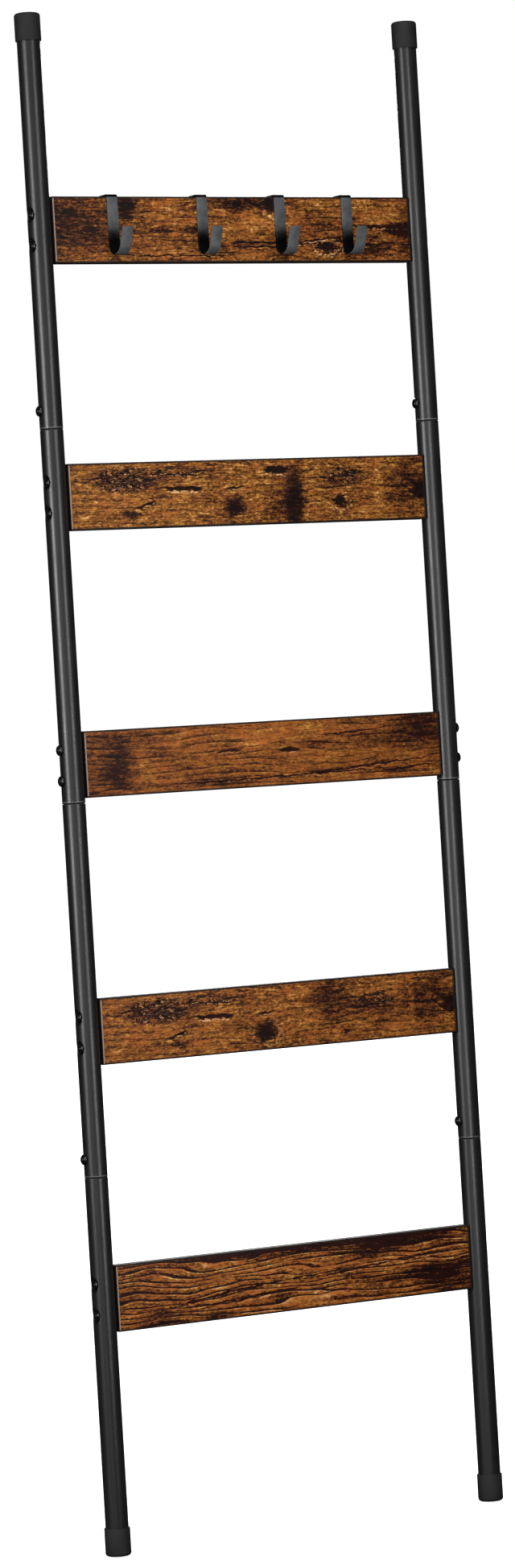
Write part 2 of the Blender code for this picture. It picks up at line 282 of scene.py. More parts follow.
def powder_coat(seams):
    """Satin black powder: a fine orange peel, with patches rubbed a little smoother. At each seam a
    dark, dull line of painted shade lies in the groove where the lips meet, and the upper lip is worn
    paler."""
    material, shader, point = new_finish("powder_coat")
    peel = noise(point, 0.9, 3, 0.6)
    grit = noise(point, 3.5, 2, 0.7)
    rubbed = noise(point, 0.02, 3, 0.6).ramp(0.35, 0.75)
    tone = (grit * 0.5 + rubbed * 0.5).ramp(0.2, 0.8)
    black = mixed(tone, POWDER_COAT, tuple(1.5 * c for c in POWDER_COAT))
    height = stood_upright(point).part(2)

    def ring_at(above, half_width):
        """1 in a line round the tube, this far above each seam, in mm."""
        inside, outside = half_width - LINE_BLUR_MM, half_width + LINE_BLUR_MM
        offsets = (height - (seam * 1000 + above) for seam in seams)
        return sum(offset.math("ABSOLUTE").ramp(outside, inside) for offset in offsets)

    worn = ring_at(*WORN_LINE_MM) * peel.ramp(0.35, 0.55)
    # Painted shade: a dark, dull line in the groove where the lips meet.
    seam_shade = ring_at(*SEAM_SHADE_LINE_MM)
    lip = mixed(worn * 0.9, black, WORN_COAT)
    feed(shader, "Base Color", mixed(seam_shade, lip, SEAM_SHADE_BLACK))
    feed(shader, "Roughness", 0.36 - rubbed * 0.05 + (peel - 0.5) * 0.12 + seam_shade * 0.45)
    bumped(shader, peel * 0.7 + grit * 0.3, 0.00012, 0.5)
    return material


def dimple_tree():
    """Presses two round dimples into the side of a tube wall that stands on the Z axis. The
    bore side of the wall bulges in as far as the outer side does."""
    tree, given = new_tree(
        "pressed dimples",
        {
            "Side": "Float",
            "Lower dimple": "Float",
            "Upper dimple": "Float",
            "Tube radius": "Float",
            "Wall": "Float",
            "Depth": "Float",
            "Floor radius": "Float",
            "Flare": "Float",
            "Easing": "Float",
            "Finish": "Material",
        },
    )
    place = Wire.node(tree, "GeometryNodeInputPosition", {}, {})
    x, y, z = (place.part(axis) for axis in range(3))
    outward = x * given["Side"]
    radius = (x * x + y * y).math("SQRT")
    inner = (given["Tube radius"] - given["Wall"] * 0.5).math("GREATER_THAN", radius)
    floor = given["Tube radius"] - given["Depth"] - inner * given["Wall"]
    for height in (given["Lower dimple"], given["Upper dimple"]):
        rise = z - height
        from_middle = (y * y + rise * rise).math("SQRT")
        slope = (from_middle - given["Floor radius"]).math("MAXIMUM", 0.0) * given["Flare"]
        outward = outward.math("SMOOTH_MIN", floor + slope, given["Easing"])
    pressed = Wire.node(
        tree, "ShaderNodeCombineXYZ", {}, {0: outward * given["Side"], 1: y, 2: z}
    )
    moved = Wire.node(
        tree, "GeometryNodeSetPosition", {}, {"Geometry": given["Geometry"], "Position": pressed}
    )
    close_tree(tree, moved, given["Finish"])
    return tree


def wall_heights(low, high, dimples):
    """Heights for the rings of a straight wall: close together at the dimples."""
    count = round((high - low) / PLAIN_RING)
    evenly = [low + (high - low) * step / count for step in range(count + 1)]
    heights = [h for h in evenly if all(abs(h - dimple) > DIMPLE_REACH for dimple in dimples)]
    steps = round(DIMPLE_REACH / FINE_RING)
    for dimple in dimples:
        heights += [dimple + step * FINE_RING for step in range(-steps, steps + 1)]
    return sorted(heights)


def section_profile(low, high, has_neck, dimples, radius):
    """The wall's outline, up its outer side and down its bore."""
    bore = radius - TUBE_WALL
    quarter = (0, math.pi / 6, math.pi / 3, math.pi / 2)
    lip = [(1 - math.cos(turn), 1 - math.sin(turn)) for turn in quarter]
    rows = wall_heights(low + 2 * LIP_ROUNDING, high - 2 * LIP_ROUNDING, dimples)
    outline = [(radius - LIP_ROUNDING * a, low + LIP_ROUNDING * b) for a, b in reversed(lip)]
    outline += [(radius, row) for row in rows]
    outline += [(radius - LIP_ROUNDING * a, high - LIP_ROUNDING * b) for a, b in lip]
    if has_neck:
        top = high + NECK_LENGTH
        outline += [
            (NECK_RADIUS, high),
            (NECK_RADIUS, top - TUBE_WALL),
            (NECK_RADIUS - TUBE_WALL / 2, top),
            (NECK_BORE, top),
            (NECK_BORE, high - TUBE_WALL),
            (bore, high - NECK_TAPER),
        ]
    else:
        outline.append((bore, high))
    outline += [(bore, row) for row in reversed(rows) if row < high - NECK_TAPER]
    outline.append((bore, low))
    return outline


upper_lengths = ("lower_mid", "upper_mid", "top")
coat = powder_coat([upright_box(f"left_upright_{section}")[0].z for section in upper_lengths])
press = dimple_tree()
for label, side in (("left", -1), ("right", 1)):
    tube_low, tube_high = upright_box(f"{label}_upright_top")
    tube_radius = (tube_high.x - tube_low.x) / 2
    axis_place = (tube_low.x + tube_high.x) / 2
    heads = []
    for board in range(1, 6):
        for level in ("low", "high"):
            head_low, head_high = upright_box(f"{label}_board_{board}_screw_{level}")
            stands_out = max(-head_low.x, head_high.x) - abs(axis_place)
            if stands_out < tube_radius:
                heads.append((head_low.z + head_high.z) / 2)
    for section in ("bottom", *upper_lengths):
        node = f"{label}_upright_{section}"
        box_low, box_high = upright_box(node)
        has_neck = section != "top"
        wall_top = box_high.z - (NECK_LENGTH if has_neck else 0)
        dimples = [height for height in heads if box_low.z < height < wall_top]
        profile = section_profile(box_low.z, wall_top, has_neck, dimples, tube_radius)
        tube = shaped(
            f"{label}_tube_{section}",
            turned(profile, TUBE_SIDES, node),
            press,
            {
                "Side": float(side),
                "Lower dimple": dimples[0],
                "Upper dimple": dimples[1],
                "Tube radius": tube_radius,
                "Wall": TUBE_WALL,
                "Depth": DIMPLE_DEPTH,
                "Floor radius": DIMPLE_FLOOR,
                "Flare": DIMPLE_FLARE,
                "Easing": DIMPLE_EASING,
                "Finish": coat,
            },
        )
        settled(tube, leaning @ Matrix.Translation((axis_place, 0, 0)))
        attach(tube, "ladder")
        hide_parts(node)


# End caps --------------------------------------------------------------------------------
# Four moulded rubber cups slip over the ends of the uprights: two are the feet, and two
# close the tops. They are matt black, with a rounded rim and a thin lip at the mouth.

CAP_END = 0.003
CAP_ROUNDING = 0.0034
CAP_ROUNDING_STEPS = 8
CAP_LIP = 0.0005
CAP_LOOSENESS = 0.0003
CAP_SIDES = 96
CAP_RUBBER = (0.0075, 0.0075, 0.008)


def moulded_rubber():
    """Matt black rubber with a fine skin and a faint grey bloom."""
    material, shader, point = new_finish("moulded_rubber")
    skin = noise(point, 2.2, 3, 0.65)
    bloom = noise(point, 0.06, 3, 0.5).ramp(0.3, 0.8)
    feed(shader, "Base Color", mixed(bloom, CAP_RUBBER, tuple(1.6 * c for c in CAP_RUBBER)))
    feed(shader, "Roughness", 0.66 + bloom * 0.12 + (skin - 0.5) * 0.1)
    bumped(shader, skin, 0.0001, 0.45)
    shader.inputs["Specular IOR Level"].default_value = 0.25
    return material


rubber = moulded_rubber()
for label in ("left", "right"):
    for end in ("foot", "top"):
        node = f"{label}_{end}_cap"
        cap_low, cap_high = upright_box(node)
        radius = (cap_high.x - cap_low.x) / 2
        height = cap_high.z - cap_low.z
        mouth = tube_radius + CAP_LOOSENESS
        outline = [(0, 0)]
        for step in range(CAP_ROUNDING_STEPS + 1):
            angle = math.pi / 2 * step / CAP_ROUNDING_STEPS
            reach = radius - CAP_ROUNDING + CAP_ROUNDING * math.sin(angle)
            outline.append((reach, CAP_ROUNDING - CAP_ROUNDING * math.cos(angle)))
        outline += [
            (radius, height - CAP_LIP),
            (radius - CAP_LIP * 0.3, height - CAP_LIP * 0.3),
            (radius - CAP_LIP, height),
            (mouth, height),
            (mouth, CAP_END),
            (0, CAP_END),
        ]
        cap = bpy.data.objects.new(f"{label}_{end}_end_cap", turned(outline, CAP_SIDES, node))
        bpy.context.scene.collection.objects.link(cap)
        cap.data.materials.append(rubber)
        middle = (cap_low.x + cap_high.x) / 2
        turn = Matrix.Identity(4) if end == "foot" else Matrix.Rotation(math.pi, 4, "X")
        start = cap_low.z if end == "foot" else cap_high.z
        settled(cap, leaning @ Matrix.Translation((middle, 0, start)) @ turn)
        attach(cap, "ladder")
        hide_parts(node)


# Boards ----------------------------------------------------------------------------------
# Five 15 mm particle boards, end-on between the uprights. They are faced with a rustic brown wood print
# that shows grain, knots and cracks, and edged all round in near black. The near black ends also stand
# for painted shade beside the tubes, the front face has painted shade along its right end, and a thin
# pale painted highlight along its left end.

BOARD_EASING = 0.0007
# Near black edging on the long edges. On the ends it also stands for painted shade beside the tubes.
EDGING_AND_END_SHADE = (0.012, 0.008, 0.006)
# Painted highlight colour for the thin pale line along a board's left end.
LEFT_END_HIGHLIGHT = (0.27, 0.21, 0.175)
LIFTED_RIM = (0.52, 0.33, 0.19)
RED_TONES = ((0.014, 0.0030, 0.0022), (0.29, 0.087, 0.0150))
PRINT_TONES = (
    (0.00, (0.0045, 0.0018, 0.0012)),
    (0.20, (0.0160, 0.0052, 0.0024)),
    (0.38, (0.0620, 0.0195, 0.0046)),
    (0.54, (0.1400, 0.0480, 0.0085)),
    (0.70, (0.2500, 0.1000, 0.0170)),
    (0.85, (0.4000, 0.1950, 0.0450)),
    (1.00, (0.5800, 0.3700, 0.1700)),
)


def spot(point, mark, soft=0.6):
    """1 in the middle of an oval mark and 0 outside it. A mark is (along, down, half length,
    half height, tilt in degrees)."""
    along_mm, down_mm, half_length, half_height, tilt = mark
    turn = math.radians(tilt)
    shift = Vector((-along_mm, 0, down_mm))
    shift.rotate(Matrix.Rotation(turn, 3, "Y"))
    local = Wire.node(
        point.tree,
        "ShaderNodeMapping",
        {},
        {0: point, "Location": shift, "Rotation": (0, turn, 0)},
    )
    oval = local.vector("MULTIPLY", (1 / half_length, 0, 1 / half_height))
    return oval.vector("LENGTH", output="Value").ramp(1.0, 1.0 - soft)


def greatest(wires):
    """The greatest of several wires at each point."""
    first, *others = wires
    for other in others:
        first = first.math("MAXIMUM", other)
    return first


def rustic_print(name, node, marks):
    """The board's wood print. Tones add up to one number that a ramp turns to colour, and
    the cracks and knots are drawn over it."""
    material, shader, object_point = new_finish(name)
    low, high = upright_box(node)
    point = stood_upright(object_point, Vector((low.x, (low.y + high.y) / 2, high.z)))
    x, y, z = (point.part(axis) for axis in range(3))

    def stretched(length, height, detail=2.0, roughness=0.5, shift=0.0):
        """Noise whose grains are about length by height, in mm."""
        sized = point.vector("MULTIPLY", (1 / length, 1 / 10, 1 / height))
        moved = sized.vector("ADD", (shift, shift * 1.7, marks["seed"] * 3.1))
        return noise(moved, 1.0, detail, roughness)

    def strayed(reach, length, height, shift):
        """The point moved about by up to half of reach, in mm, for ragged outlines."""
        noises = (stretched(length, height, 2, 0.5, shift + far) - 0.5 for far in (0, 4))
        sideways, upright = (n * reach for n in noises)
        stray = Wire.node(point.tree, "ShaderNodeCombineXYZ", {}, {0: sideways * 1.8, 2: upright})
        return point.vector("ADD", stray)

    loose = strayed(7, 12, 6, 0)
    ragged = strayed(9, 4, 2.5, 11)

    streak = stretched(38, 1.1, 2, 0.6, 1) - 0.5
    tick = stretched(5, 1.5, 2, 0.7, 2) - 0.5
    fleck = stretched(3.2, 2.0, 1, 0.6, 9) - 0.5
    clump = stretched(12, 4.0, 2, 0.6, 8) - 0.5
    patch = stretched(42, 16, 3, 0.55, 3) - 0.5
    grain = streak * 0.75 + tick * 0.95 + fleck * 0.75 + clump * 0.55
    tone = marks["base"] + grain * marks["grain"] + patch * marks["patchy"]

    for *place, lift in marks["fields"]:
        tone = tone + spot(loose, place, 0.8) * lift

    flow = z / marks["spacing"] + (stretched(130, 34, 2, 0.5, 4) - 0.5) * marks["sway"]
    for along_mm, down_mm, half_length, half_height, *_ in marks["knots"]:
        swell = (along_mm, down_mm, half_length * 3.2, half_height * 2.4, 0)
        flow = flow + spot(point, swell, 0.9) * 1.4
    ring = (flow + tick * 0.25).math("FRACT")
    broken = stretched(60, 12, 2, 0.5, 6).ramp(0.38, 0.58) * 0.75 + 0.25
    dark_line = ring.ramp(0.0, 0.10) * ring.ramp(0.46, 0.16) * broken
    pale_line = ring.ramp(0.80, 0.95) * broken
    tone = tone - dark_line * marks["lines"] + pale_line * (marks["lines"] * 0.5)

    def web(drop):
        """The dark strokes of the crazed patches, moved down by a drop in mm."""
        lowered = ragged.vector("ADD", (0.0, 0.0, drop))
        edge = Wire.node(
            point.tree,
            "ShaderNodeTexVoronoi",
            {"feature": "DISTANCE_TO_EDGE"},
            {"Vector": lowered.vector("MULTIPLY", (0.5, 0.2, 1.0)), "Scale": 0.19},
        )
        return edge.ramp(0.15, 0.05) * clump.ramp(-0.10, 0.03)

    dark = []
    pale = []
    for place in marks["nets"]:
        region = spot(loose, place)
        dark.append(region * web(0.0) * 0.9)
        pale.append(region * web(0.9) * 0.65)
        tone = tone - region * 0.05
    for *place, rim in marks["cracks"]:
        along_mm, down_mm, half_length, half_height, tilt = place
        dark.append(spot(loose, place) * tick.ramp(-0.24, -0.10))
        if rim:
            lower = down_mm + 0.8 + half_height * 0.7
            below = (along_mm + 0.4, lower, half_length, half_height, tilt)
            pale.append(spot(loose, below, 0.8) * tick.ramp(-0.06, 0.08) * rim)
    for along_mm, down_mm, half_length, half_height, halo, rim in marks["knots"]:
        wide = (along_mm, down_mm, half_length * 2.0, half_height * 1.9, 0)
        tone = tone - spot(ragged, wide, 0.8) * halo
        core = spot(ragged, (along_mm, down_mm, half_length, half_height, 0), 0.9) * 0.85
        dark.append(core)
        if rim:
            outer = (along_mm + 2, down_mm + 2, half_length * 1.4, half_height * 1.3, 0)
            lifted = (spot(loose, outer, 0.25) - core * 1.5).math("MAXIMUM", 0.0)
            pale.append(lifted * fleck.ramp(-0.05, 0.10) * rim)

    cracks = greatest(dark)
    rims = (greatest(pale) - cracks * 1.5).math("MAXIMUM", 0.0)
    tone = tone + rims * 0.55 - cracks * 0.75
    colour = Wire.node(point.tree, "ShaderNodeValToRGB", {"stops": PRINT_TONES}, {0: tone})
    ruddy = (stretched(30, 10, 2, 0.5, 7) + marks["ruddy"]).ramp(0.40, 0.75)
    tint = mixed(ruddy, colour, mixed(tone.ramp(0.1, 0.9), *RED_TONES))
    faced = mixed(rims * 0.45, tint, LIFTED_RIM)

    width = (high.x - low.x) * 1000
    height = (high.z - low.z) * 1000
    from_long_edge = (z + height / 2).math("ABSOLUTE")
    long_edge = (from_long_edge + tick * 1.5).ramp(height / 2 - 2.4, height / 2 - 1.4)
    # The ends take the dark edging, which here also stands for painted shade beside the tubes.
    from_end = (x - width / 2).math("ABSOLUTE")
    end = from_end.ramp(width / 2 - 1.0, width / 2 - 0.5)
    # Painted shade on the front face along the right end, beside the tube.
    right_end_shade = x.ramp(width - 3.0, width - 1.6) * 0.8
    # Painted highlight: a thin pale line along the left end, where its eased edge would catch the
    # light.
    left_end_highlight = x.ramp(2.5, 2.0) * tick.ramp(-0.25, -0.15)
    left_end_highlight_tone = mixed(tick.ramp(-0.2, 0.2), LEFT_END_HIGHLIGHT, tuple(0.7 * c for c in LEFT_END_HIGHLIGHT))
    edges = greatest((long_edge, right_end_shade, end))
    feed(shader, "Base Color", mixed(edges, mixed(left_end_highlight, faced, left_end_highlight_tone), EDGING_AND_END_SHADE))
    feed(shader, "Roughness", 0.55 + cracks * 0.2 + streak * 0.25 + tick * 0.15)
    relief = streak * 0.4 + tick * 0.35 - cracks * 1.2 + rims * 0.3
    bumped(shader, relief, 0.00025, 0.5)
    shader.inputs["Specular IOR Level"].default_value = 0.09
    return material


def slat_mesh(low, high):
    """A board with eased edges."""
    work = bmesh.new()
    bmesh.ops.create_cube(work, size=1)
    bmesh.ops.scale(work, vec=high - low, verts=work.verts)
    bmesh.ops.translate(work, vec=(low + high) / 2, verts=work.verts)
    bmesh.ops.bevel(
        work, geom=work.edges, offset=BOARD_EASING, segments=3, profile=0.5, affect="EDGES"
    )
    bmesh.ops.recalc_face_normals(work, faces=work.faces)
    mesh = bpy.data.meshes.new("slat")
    work.to_mesh(mesh)
    work.free()
    return mesh


# Marks are placed in mm from a board's left end and top edge. An oval is (along, down, half
# length, half height, tilt in degrees). A field is an oval and how much lighter it is, a
# crack is an oval and how pale its lower rim is, and a net is a crazed patch. A knot is an
# oval with no tilt, how dark it is round about, and how pale its rim is. Base is a board's
# middle tone, and patchy, grain and lines are how strong its blotches, fine grain and growth
# lines are. The lines lie at a spacing in mm and sway by so many spacings.
SHARED_CRACKS = [
    (38, 17, 24, 1.1, 1, 0.3),
    (136, 15, 34, 1.1, -2, 0.3),
    (140, 30, 31, 2.8, -3, 0.9),
    (206, 31, 17, 1.5, 6, 0.5),
    (93, 46, 18, 1.6, 18, 0.5),
    (340, 22, 24, 1.1, 4, 0),
    (330, 33, 30, 0.9, 2, 0),
]
SHARED_NETS = [(66, 19, 50, 19, 0), (120, 14, 66, 8, 0)]
BOARD_MARKS = {
    1: {
        "seed": 1,
        "base": 0.555,
        "patchy": 0.75,
        "grain": 1.0,
        "ruddy": 0.13,
        "spacing": 6.0,
        "sway": 5.0,
        "lines": 0.72,
        "fields": [
            (225, 1, 270, 12, 0, -0.62),
            (360, 10, 120, 14, 4, -0.50),
            (400, 46, 110, 12, 4, -0.58),
            (60, 62, 70, 12, 8, -0.20),
            (20, 30, 60, 60, 0, -0.12),
            (205, 52, 26, 7, 0, -0.34),
            (240, 60, 85, 9, 5, 0.30),
            (345, 29, 50, 7, 3, 0.22),
            (215, 24, 60, 5, 4, 0.14),
            (420, 60, 60, 14, 0, -0.42),
            (120, 66, 40, 5, 0, -0.3),
        ],
        "nets": [],
        "cracks": [
            (120, 45, 70, 1.5, 8, 0.2),
            (170, 51, 95, 1.6, 5, 0.1),
            (210, 37, 120, 1.2, 4, 0),
            (330, 31, 110, 1.4, 5, 0.2),
            (390, 27, 60, 1.6, 4, 0.3),
            (260, 53, 45, 1.3, -6, 0.6),
        ],
        "knots": [],
    },
    2: {
        "seed": 2,
        "base": 0.535,
        "patchy": 0.50,
        "grain": 0.95,
        "ruddy": 0.06,
        "spacing": 8.0,
        "sway": 5.0,
        "lines": 0.16,
        "fields": [
            (80, 20, 60, 16, 0, -0.22),
            (290, 24, 40, 38, 0, -0.27),
            (345, 32, 42, 16, 0, -0.22),
            (415, 30, 50, 40, 0, -0.27),
            (392, 30, 6, 40, 0, 0.16),
            (200, 45, 120, 20, 0, 0.06),
            (95, 57, 18, 7, 0, -0.30),
        ],
        "nets": [*SHARED_NETS, (345, 27, 34, 11, 0)],
        "cracks": SHARED_CRACKS,
        "knots": [(204, 52, 17, 13, 0.16, 0.2), (306, 58, 5, 3.5, 0.14, 0), (445, 38, 8, 10, 0.3, 0)],
    },
    3: {
        "seed": 3,
        "base": 0.527,
        "patchy": 0.50,
        "grain": 0.70,
        "ruddy": 0.12,
        "spacing": 7.0,
        "sway": 4.0,
        "lines": 0.22,
        "fields": [
            (44, 44, 30, 36, 0, -0.23),
            (60, 10, 70, 12, 0, -0.18),
            (424, 18, 66, 32, 0, -0.32),
            (18, 36, 60, 60, 0, -0.16),
            (258, 10, 60, 6, 0, 0.10),
            (285, 26, 36, 7, 0, -0.22),
            (345, 24, 40, 14, 0, -0.14),
            (130, 64, 120, 6, 0, -0.20),
            (205, 20, 60, 18, 0, 0.08),
        ],
        "nets": [],
        "cracks": [
            (177, 30, 22, 1.7, 3, 0.4),
            (255, 32, 17, 2.4, 0, 0.4),
            (240, 61, 190, 1.2, 1, 0.2),
            (340, 56, 120, 1.1, 4, 0.2),
            (400, 60, 60, 1.2, 5, 0),
            (330, 17, 40, 1.1, 3, 0),
        ],
        "knots": [],
    },
    4: {
        "seed": 2,
        "base": 0.55,
        "patchy": 0.45,
        "grain": 1.0,
        "ruddy": -0.03,
        "spacing": 8.0,
        "sway": 5.0,
        "lines": 0.14,
        "fields": [
            (80, 20, 60, 16, 0, -0.20),
            (281, 44, 19, 46, 0, -0.52),
            (262, 50, 26, 30, 0, -0.26),
            (345, 22, 40, 14, 0, -0.20),
            (428, 34, 40, 40, 0, -0.28),
            (388, 30, 8, 40, 0, 0.16),
            (200, 45, 120, 20, 0, 0.06),
            (74, 57, 16, 7, 0, -0.30),
        ],
        "nets": [*SHARED_NETS, (345, 22, 36, 12, 0)],
        "cracks": [*SHARED_CRACKS, (259, 12, 21, 5.0, -2, 0.7)],
        "knots": [(204, 52, 17, 13, 0.10, 0), (338, 49, 11, 9.5, 0.05, 0.35), (446, 39, 8, 9, 0.35, 0)],
    },
    5: {
        "seed": 5,
        "base": 0.515,
        "patchy": 0.60,
        "grain": 1.05,
        "ruddy": 0.04,
        "spacing": 6.0,
        "sway": 5.0,
        "lines": 0.18,
        "fields": [
            (26, 26, 84, 50, 0, -0.29),
            (90, 9, 16, 20, 0, -0.62),
            (150, 22, 50, 16, 0, 0.14),
            (135, 36, 22, 6, 0, -0.34),
            (168, 36, 20, 7, 0, -0.40),
            (250, 6, 80, 10, 0, -0.35),
            (225, 12, 16, 9, 0, -0.25),
            (250, 30, 70, 16, 0, 0.12),
            (340, 30, 60, 20, 0, -0.08),
            (400, 18, 34, 12, 0, 0.08),
            (438, 36, 34, 11, 0, -0.50),
            (395, 55, 75, 18, 0, -0.25),
            (458, 30, 30, 60, 0, -0.22),
        ],
        "nets": [],
        "cracks": [
            (262, 50, 52, 1.3, 0, 0),
            (262, 54.5, 50, 1.3, 0, 0.2),
            (330, 47, 44, 1.2, 6, 0.8),
            (300, 52, 40, 1.1, 3, 0.8),
            (410, 33, 50, 1.5, -1, 0.4),
            (150, 64, 90, 1.0, 0, 0.3),
        ],
        "knots": [(274, 9, 15, 11, 0.15, 0.3), (340, 55, 18, 7.5, 0.05, 0.5)],
    },
}

for number, marks in BOARD_MARKS.items():
    node = f"board_{number}"
    board_low, board_high = upright_box(node)
    board = bpy.data.objects.new(f"slat_{number}", slat_mesh(board_low, board_high))
    bpy.context.scene.collection.objects.link(board)
    board.data.materials.append(rustic_print(f"rustic_print_{number}", node, marks))
    settled(board, leaning)
    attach(board, "ladder")
    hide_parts(node)


# Screws ----------------------------------------------------------------------------------
# Black button-head screws with a hexagon socket. Two at each board end go in from the
# tube's outer side, and one holds each of four plugged joints. The heads are domed.

HEAD_RADIUS = 0.00575
HEAD_HEIGHT = 0.0038
HEAD_RIM = 0.0009
CROWN_TURN = math.radians(60)
CROWN_STEPS = 7
SHANK_RADIUS = 0.0020
SHANK_POINT = 0.002
SOCKET_RADIUS = 0.0022
SOCKET_DEPTH = 0.0018
SOCKET_CONE = 0.0006
SCREW_SIDES = 36
BLACK_OXIDE = (0.004, 0.004, 0.0045)
WORN_OXIDE = (0.02, 0.02, 0.021)


def black_oxide():
    """Shiny black oxide, a little greyer and duller where it is worn."""
    material, shader, point = new_finish("black_oxide")
    wear = noise(point, 0.8, 3, 0.6).ramp(0.55, 0.8)
    feed(shader, "Base Color", mixed(wear, BLACK_OXIDE, WORN_OXIDE))
    feed(shader, "Roughness", 0.20 + wear * 0.15 + (noise(point, 3.0) - 0.5) * 0.1)
    bumped(shader, noise(point, 4.0, 2), 0.00005, 0.4)
    shader.inputs["Metallic"].default_value = 0.3
    return material


def screw_mesh(length):
    """The underside of the head is at z = 0, and the shank runs down from it."""
    outline = [(0, -length), (SHANK_RADIUS * 0.5, -length), (SHANK_RADIUS, SHANK_POINT - length)]
    outline += [(SHANK_RADIUS, 0), (HEAD_RADIUS * 0.96, 0), (HEAD_RADIUS, HEAD_RIM * 0.3)]
    crown = HEAD_HEIGHT - HEAD_RIM
    for step in range(CROWN_STEPS + 1):
        angle = CROWN_TURN * step / CROWN_STEPS
        outline.append((HEAD_RADIUS * math.cos(angle), HEAD_RIM + crown * math.sin(angle)))
    socket_floor = HEAD_HEIGHT - SOCKET_DEPTH
    outline += [(SOCKET_RADIUS * 1.12, HEAD_HEIGHT), (SOCKET_RADIUS, HEAD_HEIGHT - 0.0001)]
    outline += [(SOCKET_RADIUS, socket_floor), (0, socket_floor - SOCKET_CONE)]
    mesh = turned(outline, SCREW_SIDES, "screw")
    flat_reach = SOCKET_RADIUS * math.cos(math.pi / 6)
    for vertex in mesh.vertices:
        reach = math.hypot(vertex.co.x, vertex.co.y)
        in_socket = abs(reach - SOCKET_RADIUS) < 1e-6 and vertex.co.z > 0
        if in_socket:
            off_flat = math.atan2(vertex.co.y, vertex.co.x) % (math.pi / 3) - math.pi / 6
            scale = flat_reach / math.cos(off_flat) / reach
            vertex.co.x *= scale
            vertex.co.y *= scale
    return mesh


def screw_tree():
    """Sets a screw on each point, facing the side that the point's own value gives, each
    turned by chance about its length."""
    tree, given = new_tree(
        "screws in place", {"Screw": "Object", "Seed": "Int", "Finish": "Material"}
    )
    screw = Wire.node(tree, "GeometryNodeObjectInfo", {}, {0: given["Screw"]}, "Geometry")
    side = Wire.node(
        tree, "GeometryNodeInputNamedAttribute", {"data_type": "FLOAT"}, {"Name": "side"}
    )
    facing = Wire.node(tree, "ShaderNodeCombineXYZ", {}, {1: side * (math.pi / 2)})
    placed = Wire.node(
        tree,
        "GeometryNodeInstanceOnPoints",
        {},
        {"Points": given["Geometry"], "Instance": screw, "Rotation": facing},
    )
    chance = Wire.node(
        tree,
        "FunctionNodeRandomValue",
        {"data_type": "FLOAT"},
        {2: 0.0, 3: math.pi / 3, "Seed": given["Seed"]},
        1,
    )
    spin = Wire.node(tree, "ShaderNodeCombineXYZ", {}, {2: chance})
    spun = Wire.node(
        tree, "GeometryNodeRotateInstances", {}, {"Instances": placed, "Rotation": spin}
    )
    close_tree(tree, spun, given["Finish"])
    return tree


def screw_set(name, nodes, seed):
    """The screws that stand for these CAD nodes, all of one length, as one piece. Board screws
    face outwards, and joint screws face left on both uprights."""
    places = []
    sides = []
    for node in nodes:
        low, high = upright_box(node)
        side = 1 if node.startswith("right_board") else -1
        under_head = (low.x if side < 0 else high.x) - side * HEAD_HEIGHT
        places.append((under_head, (low.y + high.y) / 2, (low.z + high.z) / 2))
        sides.append(float(side))
        length = high.x - low.x - HEAD_HEIGHT
    points = bpy.data.meshes.new(name)
    points.from_pydata(places, [], [])
    points.attributes.new("side", "FLOAT", "POINT").data.foreach_set("value", sides)
    pattern = bpy.data.objects.new(name + "_pattern", screw_mesh(length))
    values = {"Screw": pattern, "Seed": seed, "Finish": oxide}
    screws = shaped(name, points, screw_in, values)
    bpy.data.objects.remove(pattern)
    settled(screws, leaning, 30)
    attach(screws, "ladder")
    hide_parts(*nodes)


oxide = black_oxide()
screw_in = screw_tree()
levels = ("low", "high")
for label in ("left", "right"):
    sunk = [f"{label}_board_{n}_screw_{level}" for n in (1, 2, 4, 5) for level in levels]
    proud = [f"{label}_board_3_screw_{level}" for level in levels]
    joint = [f"{label}_{place}_joint_screw" for place in ("lower", "upper")]
    screw_set(f"{label}_sunk_screws", sunk, seed=3)
    screw_set(f"{label}_proud_screws", proud, seed=5)
    screw_set(f"{label}_joint_screws", joint, seed=7)


# Nuts ------------------------------------------------------------------------------------
# A zinc-plated hexagon nut inside each screwed joint's neck, for the joint screw to draw on.
# It is hidden in the tube, so the CAD shape stays.

ZINC_TONES = ((0.44, 0.45, 0.47), (0.62, 0.62, 0.60))


def zinc_plate():
    """Bright zinc with a faint spangle."""
    material, shader, point = new_finish("zinc_plate")
    spangle = noise(point, 0.9, 3, 0.6)
    feed(shader, "Base Color", mixed(spangle.ramp(0.3, 0.7), *ZINC_TONES))
    feed(shader, "Roughness", 0.30 + spangle * 0.2)
    bumped(shader, spangle, 0.00005, 0.4)
    shader.inputs["Metallic"].default_value = 1.0
    return material


zinc = zinc_plate()
for label in ("left", "right"):
    for joint in ("lower", "upper"):
        nut = frame["nodes"][f"{label}_{joint}_joint_nut"]
        nut.material_slots[0].material = zinc


# Hooks -----------------------------------------------------------------------------------
# Four hooks of 13 mm steel strip, cut with rounded corners, coated dark grey and bent over
# the top board: a leg behind it, two tight bends over its edge, and a J towards the room.
# They slide along the board.

